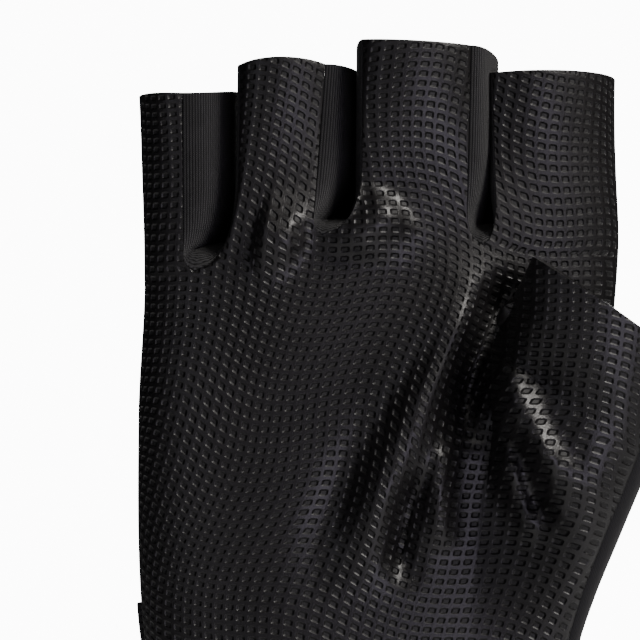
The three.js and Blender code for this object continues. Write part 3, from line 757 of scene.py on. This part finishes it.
def leather(look):
    """Embossed leather. Its dimples stand on a lattice that two long waves and smooth noise bend,
    in millimetres of the flat coordinates u and v. A dimple is a superellipse of power 4 about its
    cell's middle, with a soft rim and a rougher floor whose colour is darkened as painted shade.
    Between the dimples lie fine grain and pores, and clouds vary the colour and the satin gloss."""
    made = Finish("palm_leather", {"Roughness": 0.4, "Specular IOR Level": 0.4})
    u, v, uv = made.flat()
    shifted = made.node("VectorMath", {"operation": "ADD"}, {0: uv, 1: (61.0, 17.0, 5.0)})
    bend_u = made.noise(uv, 0.030, 0.0) - 0.5
    bend_v = made.noise(shifted, 0.032, 0.0) - 0.5
    across = (u + 1.2 * wave(v + 0.3 * u, 45.0) + 5.0 * bend_u) / look.pitch_across
    along = (v + 0.24 * u + 1.7 * wave(u - 0.08 * v + 20.7, 38.0)
             + 6.0 * bend_v) / look.pitch_along
    dx = abs(across.cell() - 0.5) / (0.5 * look.dimple_across / look.pitch_across)
    dy = abs(along.cell() - 0.5) / (0.5 * look.dimple_along / look.pitch_along)
    pit = 1.0 - ((dx ** 4.0 + dy ** 4.0) ** 0.25).smooth(0.50, 1.12)
    where = made.place()
    grain = made.noise(where, 2600.0, 3.0, 0.6)
    pores = made.node("TexVoronoi", {"feature": "DISTANCE_TO_EDGE"},
                      {"Vector": where, "Scale": 1500.0})
    cloud = made.noise(where, 45.0, 3.0, 0.55)
    made.relief(look.dimple_depth * (1.0 - pit) + 0.012 * grain
                + 0.014 * pores.smooth(0.0, 0.25))
    skin = made.tint(cloud.smooth(0.35, 0.7), linear(look.leather, 0.16),
                     linear(look.leather, 0.30))
    # The dimple floors get a darker base colour: painted shade in the pits.
    made.wire("Base Color", made.tint(pit, skin, linear(look.leather, 0.05)))
    made.wire("Roughness", 0.32 + 0.12 * cloud + 0.22 * pit + 0.05 * grain)
    return made.material


def knit(look):
    """Ribbed knit: round ribs along the finger, of the height 1 - rr at r from 0 in a rib's middle
    to 1 at its side, and small slanted loops on each rib. The colour follows this relief: the low
    places between ribs and loops are darkened as painted shade, and clouds vary the tone at random."""
    made = Finish("rib_knit", {"Roughness": 0.9, "Sheen Weight": 0.06, "Sheen Roughness": 0.5,
                               "Specular IOR Level": 0.12})
    u, v, _ = made.flat()
    rib = (u / look.rib_pitch).zigzag()
    loop = (v / look.loop_pitch + 0.9 * rib).zigzag()
    where = made.place()
    fuzz = made.noise(where, 5200.0, 2.0, 0.7)
    cloud = made.noise(where, 220.0, 3.0, 0.6)
    round_rib = 1.0 - rib * rib
    made.relief(0.22 * round_rib + 0.14 * loop * round_rib + 0.04 * fuzz)
    # Colour from the relief: dark in the grooves between ribs and loops as painted shade; the cloud
    # is random tone.
    share = (round_rib * (0.15 + 0.85 * loop) * (0.40 + 1.3 * cloud)).smooth(0.05, 0.80)
    made.wire("Base Color", made.tint(share, linear(look.knit, 0.05), linear(look.knit, 0.80)))
    made.wire("Roughness", 0.8 + 0.15 * fuzz)
    return made.material


def fabric(look):
    """Fine cloth: two crossing sets of threads with a little fuzz and cloudy wear. The colour is
    darker in the hollows between the threads as painted shade.
    """
    made = Finish("back_fabric", {"Roughness": 0.8, "Sheen Weight": 0.05,
                                  "Sheen Roughness": 0.45, "Specular IOR Level": 0.12})
    u, v, _ = made.flat()
    threads = 1.0 - ((u + v) / look.thread_pitch).zigzag() * ((u - v) / look.thread_pitch).zigzag()
    where = made.place()
    fuzz = made.noise(where, 4200.0, 2.0, 0.65)
    cloud = made.noise(where, 60.0, 3.0, 0.5)
    made.relief(0.06 * threads + 0.02 * fuzz)
    # Colour from the thread relief: the hollows between threads are painted shade; the cloud is
    # random tone.
    share = (threads * (0.6 + 0.5 * cloud)).smooth(0.1, 1.0)
    made.wire("Base Color", made.tint(share, linear(look.fabric, 0.315),
                                      linear(look.fabric, 0.84)))
    made.wire("Roughness", 0.62 + 0.2 * fuzz + 0.08 * cloud)
    return made.material


def elastic(look):
    """Strap webbing: ribs along the band, and short threads across them, which every second rib
    holds half a thread further on. The colour follows this relief, darker in the grooves as painted
    shade and lighter on the tops."""
    made = Finish("strap_elastic", {"Roughness": 0.75, "Sheen Weight": 0.2,
                                    "Sheen Roughness": 0.4, "Specular IOR Level": 0.25})
    u, v, _ = made.flat()
    rib = (v / look.strap_rib_pitch).zigzag()
    second = (v / (2.0 * look.strap_rib_pitch)).cell().math("GREATER_THAN", 0.5)
    cross = (u / 0.5 + 0.5 * second).zigzag()
    fuzz = made.noise(made.place(), 4000.0, 2.0, 0.6)
    body = 1.0 - rib * rib
    made.relief(0.18 * body + 0.06 * cross * body + 0.02 * fuzz)
    # Colour from the relief: the grooves between ribs and threads are painted shade.
    made.wire("Base Color", made.tint((body * (0.5 + 0.5 * cross)).smooth(0.0, 1.0),
                                      linear(look.fabric, 0.25), linear(look.fabric, 1.1)))
    made.wire("Roughness", 0.68 + 0.2 * fuzz)
    return made.material


def tab_rubber(look):
    """The tab: matt moulded rubber with a faint pebble."""
    made = Finish("strap_tab", {"Roughness": 0.6, "Specular IOR Level": 0.35})
    where = made.place()
    pebble = made.node("TexVoronoi", {"feature": "SMOOTH_F1"},
                       {"Vector": where, "Scale": 900.0, "Smoothness": 0.6})
    fuzz = made.noise(where, 2500.0, 2.0, 0.6)
    made.relief(0.05 * pebble + 0.015 * fuzz)
    made.wire("Base Color", made.tint(fuzz, linear(look.fabric, 0.5), linear(look.fabric, 0.8)))
    made.wire("Roughness", 0.5 + 0.2 * fuzz)
    return made.material


# ---------------------------------------------------------------- settings

def length_setting(name, about, default, least):
    """A length that can be set, in millimetres."""
    return bpy.props.FloatProperty(name=name, description=about + ", mm", default=default,
                                   min=least)


def colour_setting(name, about, default):
    """A colour that can be set, as it looks on screen."""
    return bpy.props.FloatVectorProperty(name=name, description=about, subtype="COLOR", size=3,
                                         default=default, min=0.0, max=1.0)


class GloveSizes(bpy.types.PropertyGroup):
    """How fine the grids are, and how thick the walls are."""

    fineness: bpy.props.IntProperty(
        name="Fineness", description="Grid steps for each step of the plain model", default=5,
        min=1, max=8)
    leather_wall: length_setting("Leather", "Thickness of the leather", 1.4, 0.5)
    knit_wall: length_setting("Knit", "Thickness of the knit strips", 0.8, 0.4)
    fabric_wall: length_setting("Fabric", "Thickness of the back fabric", 1.1, 0.4)


class GloveLook(bpy.types.PropertyGroup):
    """Colours and pattern sizes of the glove's materials."""

    leather: colour_setting("Leather", "Colour of the leather", (0.135, 0.125, 0.130))
    knit: colour_setting("Knit", "Colour of the knit", (0.17, 0.17, 0.175))
    fabric: colour_setting("Fabric", "Colour of the back fabric and strap", (0.12, 0.12, 0.128))
    pitch_across: length_setting("Dimple pitch across", "Distance of dimples in a row", 2.25, 0.5)
    pitch_along: length_setting("Dimple pitch along", "Distance of the rows", 1.85, 0.5)
    dimple_across: length_setting("Dimple width", "Width of a dimple", 1.58, 0.1)
    dimple_along: length_setting("Dimple height", "Height of a dimple", 1.15, 0.1)
    dimple_depth: length_setting("Dimple depth", "Depth of a dimple", 0.46, 0.0)
    rib_pitch: length_setting("Rib pitch", "Distance of the knit's ribs", 0.58, 0.2)
    loop_pitch: length_setting("Loop pitch", "Distance of the loops on a rib", 0.40, 0.1)
    thread_pitch: length_setting("Thread pitch", "Distance of the back's threads", 0.62, 0.2)
    strap_rib_pitch: length_setting("Strap rib pitch", "Distance of the strap's ribs", 1.25, 0.3)


# ---------------------------------------------------------------- operators

def palm_patches(f):
    """The palm's and the finger fronts' patches at fineness f. Flat coordinates are lengths
    along the rows, counted from the middle finger's lobe, and a finger goes on from its lobe.
    On the palm's front, the ring finger and the middle finger, depth counts little, so that
    the folds do not shear the pattern."""
    front = (1.0, 0.25, 0.25)
    to_web, to_crotch = steps(0, WEB_ROW, WEB_STEPS * f), steps(WEB_ROW, 1, CROTCH_STEPS * f)
    rows = [np.concatenate([to_web, to_crotch[1:]])] * 4 + [to_crotch]
    bodies = [grid(steps(0, 1, wide * f), rows[i], partial(palm_body, i))
              for i, wide in enumerate(PALM_STEPS)]
    lengths = [spans(bodies[0])] + [spans(p * front) for p in bodies[1:]]
    ends = np.cumsum([0.0 * lengths[0][:, -1]] + [row[:, -1] for row in lengths[:4]], axis=0)
    starts = (ends - ends[2])[..., None]
    patches = [laid(p, across + start[-len(p):])
               for p, across, start in zip(bodies, lengths, starts)]
    for i, wide in enumerate(PALM_STEPS):
        p = grid(steps(0, 1, wide * f), steps(1, 2, FINGER_STEPS * f), partial(palm_finger, i))
        across = spans(p * front) if i in (1, 2) else spans(p)
        # The index finger's second part goes on from its first, the others from their middle
        half = 0 if i == 4 else across.shape[1] // 2
        start = seam if i == 4 else patches[i][1][-1, half, 0]
        across = across - across[:, half:half + 1] + start
        seam = across[:, -1:]
        patches.append(laid(p, across))
    return patches


def thumb_patch(f, web_line):
    """The thumb's front at fineness f, from the palm's flat coordinates on the web line. They
    go straight across, so that slanting rows do not shear the pattern."""
    web = WEB_STEPS * f
    rise = np.concatenate([steps(0, 1, web), steps(1, 2, FINGER_STEPS * f)[1:]])
    p = grid(steps(0, 1, THUMB_STEPS * f), rise, thumb_front)
    above = web_line[-1] + p[web + 1:, 0, 0] - p[web, 0, 0]
    start = np.concatenate([web_line, above])[:, None]
    return laid(p, start + p[..., 0] - p[:, :1, 0])


class GLOVE_OT_palm(bpy.types.Operator):
    """Build the palm leather: palm, finger fronts and the thumb's front in one piece"""

    bl_idname = "glove.palm"
    bl_label = "Palm leather"

    def execute(self, context):
        sizes, look = context.scene.glove_sizes, context.scene.glove_look
        f = sizes.fineness
        patches = palm_patches(f)
        patches.append(thumb_patch(f, patches[3][1][:WEB_STEPS * f + 1, -1, 0]))
        build("palm_leather", patches, from_middle, "palm_panel", leather(look),
              sizes.leather_wall)
        return {"FINISHED"}


class GLOVE_OT_knit(bpy.types.Operator):
    """Build the ribbed knit strips between the fingers"""

    bl_idname = "glove.knit"
    bl_label = "Knit strips"

    def execute(self, context):
        sizes, finish = context.scene.glove_sizes, knit(context.scene.glove_look)
        t, w = (steps(start, 1, n * sizes.fineness) for start, n in zip((-1, 0), STRIP_STEPS))
        for index, name in enumerate(("little_ring", "ring_middle", "middle_index")):
            name = "gusset_" + name
            p = grid(w, t, partial(strip_wall, index))
            width = np.linalg.norm(p[:, -1] - p[:, 0], axis=-1)
            inset = np.minimum(0.25, STRIP_INSET / width)[:, None]
            cols = inset + (1.0 - 2.0 * inset) * w
            p = strip_wall(index, cols, np.repeat(t[:, None], len(w), axis=1))
            middle = 0.5 * (STRIPS[index]["tip"] + STRIPS[index]["back_tip"]) * WIDTH
            build(name + "_knit", [laid(p, spans(p))], partial(beside, middle), name,
                  finish, sizes.knit_wall, rim=0.25, side=1.0)
        return {"FINISHED"}


class GLOVE_OT_back(bpy.types.Operator):
    """Build the smooth fabric over the back of the hand, of the fingers and of the thumb"""

    bl_idname = "glove.back"
    bl_label = "Back fabric"

    def execute(self, context):
        sizes, finish = context.scene.glove_sizes, fabric(context.scene.glove_look)
        f, wall = sizes.fineness, sizes.fabric_wall
        rows = np.concatenate([steps(0, WEB_ROW, BACK_WEB_STEPS * f),
                               steps(WEB_ROW, 1, CROTCH_STEPS * f)[1:]])
        patches, start = [], 0.0
        for k, wide in enumerate(BACK_STEPS):
            cols, half = steps(0, 1, wide * f), wide * f // 2
            p = grid(cols, rows, partial(back_body, k))
            across = spans(p) + start
            start = across[:, -1:]
            patches.append(laid(p, across))
            q = grid(cols, steps(1, 2, FINGER_STEPS * f), partial(back_finger, k))
            past = spans(q)
            patches.append(laid(q, past - past[:, half:half + 1] + across[-1, half]))
        build("back_fabric", patches, from_middle, "back_panel", finish, wall)
        rise = np.concatenate([steps(0, 1, BACK_WEB_STEPS * f),
                               steps(1, 2, THUMB_FREE_STEPS * f)[1:]])
        p = grid(steps(0, 1, THUMB_BACK_STEPS * f), rise, thumb_back)
        build("thumb_fabric", [laid(p, spans(p))], lambda q: unit(q - THUMB_MIDDLE),
              "thumb_back", finish, wall)
        return {"FINISHED"}


class GLOVE_OT_strap(bpy.types.Operator):
    """Build the wrist strap and its tab"""

    bl_idname = "glove.strap"
    bl_label = "Wrist strap"

    def execute(self, context):
        look = context.scene.glove_look
        z = steps(STRAP_FROM, STRAP_FROM + STRAP_HEIGHT, STRAP_GRID[0])[:, None]
        stop = back_edge(z / (LENGTH * RIGHT_END * WEB_ROW)) + STRAP_STOP
        angle = mix(-STRAP_START, stop, steps(0, 1, STRAP_GRID[1]))
        p = hand(angle, z + 0.0 * angle)
        p = p + section_normal(p, angle) * SEAM_GAP
        build("wrist_strap_band", [laid(p, spans(p))], from_middle,
              "wrist_strap", elastic(look), STRAP_WALL, rim=0.5, side=1.0)
        # The tab's rows are shorter where its corners are round
        rows, cols = (steps(-0.5, 0.5, n) for n in TAB_GRID)
        past = np.maximum(0.0, np.abs(rows) * TAB_HEIGHT - (0.5 * TAB_HEIGHT - TAB_CORNER))
        cut = TAB_CORNER - np.sqrt(np.maximum(0.0, TAB_CORNER ** 2 - past ** 2))
        height = STRAP_FROM + 0.5 * STRAP_HEIGHT + rows * TAB_HEIGHT
        x = TAB_ACROSS + cols * (TAB_WIDTH - 2.0 * cut[:, None])
        z = height[:, None] + 0.0 * x
        angle = -angle_at(x, z)
        p = hand(angle, z)
        p = p + section_normal(p, angle) * (2.0 * SEAM_GAP + STRAP_WALL)
        build("strap_tab_end", [laid(p, spans(p))], from_middle, "strap_tab",
              tab_rubber(look), TAB_WALL, rim=0.6, side=1.0)
        return {"FINISHED"}


# ---------------------------------------------------------------- stage

# Half the floor's width and its height; the backdrop's ends, distance and glow; and the world's
# colour and strength
FLOOR_HALF, FLOOR_Z = 3.0, -0.36
DROP_X, DROP_Y, DROP_Z, DROP_GLOW = (-0.24, 0.22), 1.6, (-0.13, 0.34), 12.0
WORLD_COLOUR, WORLD_STRENGTH = (0.90, 0.92, 1.0, 1.0), 0.012

# The soft lights: place in metres, width and height, watts and colour. All look at AIM.
AIM = (0.0, -0.01, 0.10)
LAMPS = (
    ("key", (0.52, -0.42, 0.70), 0.32, 0.32, 13.4, (1.0, 0.96, 0.92)),
    ("front", (0.06, -0.85, 0.85), 0.22, 0.22, 1.25, (1.0, 0.96, 0.92)),
    ("low", (0.35, -0.90, -0.15), 0.5, 0.5, 3.2, (0.86, 0.78, 1.0)),
    ("side", (-0.8, -0.9, 0.35), 0.5, 0.9, 1.5, (0.92, 0.89, 1.0)),
    ("top", (0.0, 0.25, 0.9), 0.6, 0.4, 0.6, (1.0, 1.0, 1.0)),
    ("rear", (0.0, 1.1, 0.5), 0.5, 0.5, 9.0, (1.0, 1.0, 1.0)),
)

# The camera faces the palm from this place. At VIEW_FAR its picture of 640 pixels shows a
# millimetre as 5.2 pixels.
CAMERA_PLACE, SENSOR = (-0.011, -0.8, 0.107), 36.0
VIEW_WIDE, VIEW_FAR = 640.0 / 5200.0, 0.8


def sheet(name, corners, material):
    """A flat stage sheet through four corners."""
    mesh = bpy.data.meshes.new(name)
    mesh.from_pydata(corners, [], [(0, 1, 2, 3)])
    mesh.materials.append(material)
    made = bpy.data.objects.new(name, mesh)
    bpy.context.scene.collection.objects.link(made)


def lamp(name, place, wide, high, watts, colour):
    """A soft rectangular light."""
    light = bpy.data.lights.new(name, "AREA")
    light.shape, light.color = "RECTANGLE", colour
    light.size, light.size_y, light.energy = wide, high, watts
    made = bpy.data.objects.new(name, light)
    made.location = place
    aim = Vector(AIM) - Vector(place)
    made.rotation_euler = aim.to_track_quat("-Z", "Y").to_euler()
    bpy.context.scene.collection.objects.link(made)


class GLOVE_OT_stage(bpy.types.Operator):
    """Build the floor, the backdrop, the soft lights and the camera"""

    bl_idname = "glove.stage"
    bl_label = "Stage"

    def execute(self, context):
        scene = context.scene
        paper = Finish("stage_paper", {"Base Color": (0.8, 0.8, 0.8, 1.0), "Roughness": 0.9})
        glow = Finish("stage_backdrop", {
            "Base Color": (0.0, 0.0, 0.0, 1.0), "Roughness": 1.0,
            "Emission Color": (1.0, 1.0, 1.0, 1.0), "Emission Strength": DROP_GLOW})
        around = ((0, 0), (1, 0), (1, 1), (0, 1))
        ends = (-FLOOR_HALF, FLOOR_HALF)
        sheet("floor", [(ends[i], ends[j], FLOOR_Z) for i, j in around], paper.material)
        sheet("backdrop", [(DROP_X[i], DROP_Y, DROP_Z[j]) for i, j in around], glow.material)
        scene.world = bpy.data.worlds.new("studio")
        scene.world.use_nodes = True
        sky = scene.world.node_tree.nodes["Background"]
        sky.inputs["Color"].default_value = WORLD_COLOUR
        sky.inputs["Strength"].default_value = WORLD_STRENGTH
        for row in LAMPS:
            lamp(*row)
        lens = bpy.data.cameras.new("camera")
        lens.sensor_width = SENSOR
        lens.lens = SENSOR * VIEW_FAR / VIEW_WIDE
        camera = bpy.data.objects.new("camera", lens)
        camera.location = CAMERA_PLACE
        camera.rotation_euler = (np.pi / 2.0, 0.0, 0.0)
        scene.collection.objects.link(camera)
        scene.camera = camera
        return {"FINISHED"}


class GLOVE_PT_panel(bpy.types.Panel):
    """The glove's steps and settings"""

    bl_idname = "GLOVE_PT_panel"
    bl_label = "Training glove"
    bl_space_type = "VIEW_3D"
    bl_region_type = "UI"
    bl_category = "Glove"

    def draw(self, context):
        for group in (context.scene.glove_sizes, context.scene.glove_look):
            for key in group.__annotations__:
                self.layout.prop(group, key)
        for step in STEPS:
            self.layout.operator(step.bl_idname)


STEPS = (GLOVE_OT_palm, GLOVE_OT_knit, GLOVE_OT_back, GLOVE_OT_strap, GLOVE_OT_stage)
CLASSES = (GloveSizes, GloveLook, *STEPS, GLOVE_PT_panel)


def register():
    """Register the classes and the settings on the scene."""
    for item in CLASSES:
        bpy.utils.register_class(item)
    bpy.types.Scene.glove_sizes = bpy.props.PointerProperty(type=GloveSizes)
    bpy.types.Scene.glove_look = bpy.props.PointerProperty(type=GloveLook)


def unregister():
    """Take the settings and the classes away again."""
    del bpy.types.Scene.glove_sizes
    del bpy.types.Scene.glove_look
    for item in reversed(CLASSES):
        bpy.utils.unregister_class(item)


def main():
    """Build everything in order."""
    register()
    for step in STEPS:
        group, name = step.bl_idname.split(".")
        getattr(getattr(bpy.ops, group), name)()
    bpy.context.view_layer.update()


if __name__ == "__main__":
    main()
